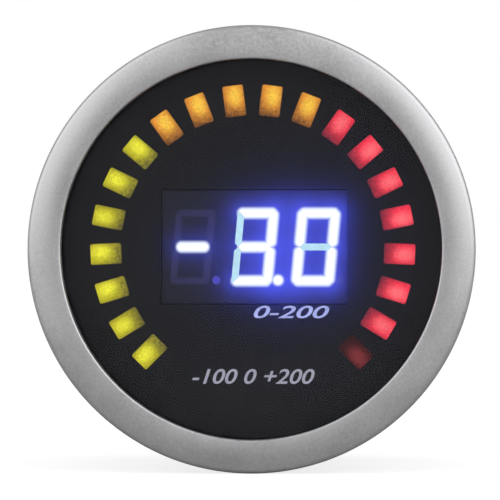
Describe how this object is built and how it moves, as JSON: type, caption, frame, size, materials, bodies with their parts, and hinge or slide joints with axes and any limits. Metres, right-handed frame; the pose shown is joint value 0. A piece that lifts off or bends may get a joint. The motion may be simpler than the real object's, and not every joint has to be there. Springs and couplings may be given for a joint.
{
  "type": "boost gauge",
  "caption": "Round panel-mount boost gauge: satin bezel, smoked window, ring of light bars round a seven-segment display, rear strap clamp with thumb nuts, hose barb and plug socket.",
  "frame": {"origin": "on the barrel's axis, in the plane of the bezel's seat on the panel", "axes": "-Y out of the window towards the viewer, +Y along the case to the rear, +Z to the top of the dial"},
  "size_m": [0.055, 0.0665, 0.055],
  "materials": {
    "satin_ring": "satin, fine blasted grain",
    "smoked_lens": "polished smoked acrylic",
    "seal_rubber": "matt",
    "dial_film": "matt printed film",
    "black_moulding": "moulded, fine grain",
    "case_black": "moulded, fine spark texture",
    "yellow_pad": "diffuser",
    "orange_pad": "diffuser",
    "red_pad": "diffuser",
    "legend_pad": "diffuser",
    "led_body": "moulded lamp body",
    "display_body": "potted module",
    "segment_resin": "cast resin",
    "board_green": "solder mask",
    "pin_gold": "plated",
    "pin_tin": "tinned",
    "header_black": "moulded",
    "spacer_white": "nylon",
    "zinc_steel": "zinc plated",
    "chip_black": "moulded",
    "can_silver": "drawn can",
    "tube_silicone": "translucent silicone",
    "barb_brass": "turned",
    "socket_ivory": "moulded nylon",
    "strap_steel": "pressed, zinc plated",
    "nut_brass": "knurled, nickelled brass"
  },
  "bodies": {
    "gauge": {"bezel_ring": "satin_ring", "lens": "smoked_lens", "lens_gasket": "seal_rubber", "dial_mask": "dial_film", "light_box": "black_moulding", "bar_windows_yellow": "yellow_pad", "bar_windows_orange": "orange_pad", "bar_windows_red": "red_pad", "legend_windows": "legend_pad", "bar_leds_yellow": "led_body", "bar_leds_orange": "led_body", "bar_leds_red": "led_body", "legend_leds": "led_body", "display_housing": "display_body", "display_digits": "segment_resin", "display_points": "segment_resin", "display_pins": "pin_tin", "display_board": "board_green", "main_board": "board_green", "header_strips": "header_black", "header_pins": "pin_gold", "board_spacers": "spacer_white", "board_screws": "zinc_steel", "microcontroller": "chip_black", "voltage_regulator": "chip_black", "capacitors": "can_silver", "crystal": "can_silver", "chip_resistors": "chip_black", "pressure_sensor": "chip_black", "sensor_tube": "tube_silicone", "case_can": "case_black", "hose_barb": "barb_brass", "barb_nut": "barb_brass", "barb_seal": "seal_rubber", "wiring_socket": "socket_ivory", "wiring_pins": "pin_gold", "mounting_studs": "zinc_steel", "stud_nuts": "zinc_steel"},
    "strap": {"clamp_bracket": "strap_steel", "lock_washers": "zinc_steel"},
    "nut_left": {"thumb_nut_left": "nut_brass"},
    "nut_right": {"thumb_nut_right": "nut_brass"}
  },
  "joints": [
    {"name": "bracket_slide", "type": "slide", "parent": "gauge", "child": "strap", "axis": [0, 1, 0], "range_m": [-0.0014, 0.00893]},
    {"name": "thumb_nut_left_spin", "type": "hinge", "parent": "strap", "child": "nut_left", "pos_m": [-0.017, 0.041, 0], "axis": [0, 1, 0], "range_deg": [-720, 4590]},
    {"name": "thumb_nut_right_spin", "type": "hinge", "parent": "strap", "child": "nut_right", "pos_m": [0.017, 0.041, 0], "axis": [0, 1, 0], "range_deg": [-720, 4590]}
  ],
  "couplings": [
    {"joint": "thumb_nut_left_spin", "follows": "bracket_slide", "rad_per_m": 8976},
    {"joint": "thumb_nut_right_spin", "follows": "bracket_slide", "rad_per_m": 8976}
  ]
}
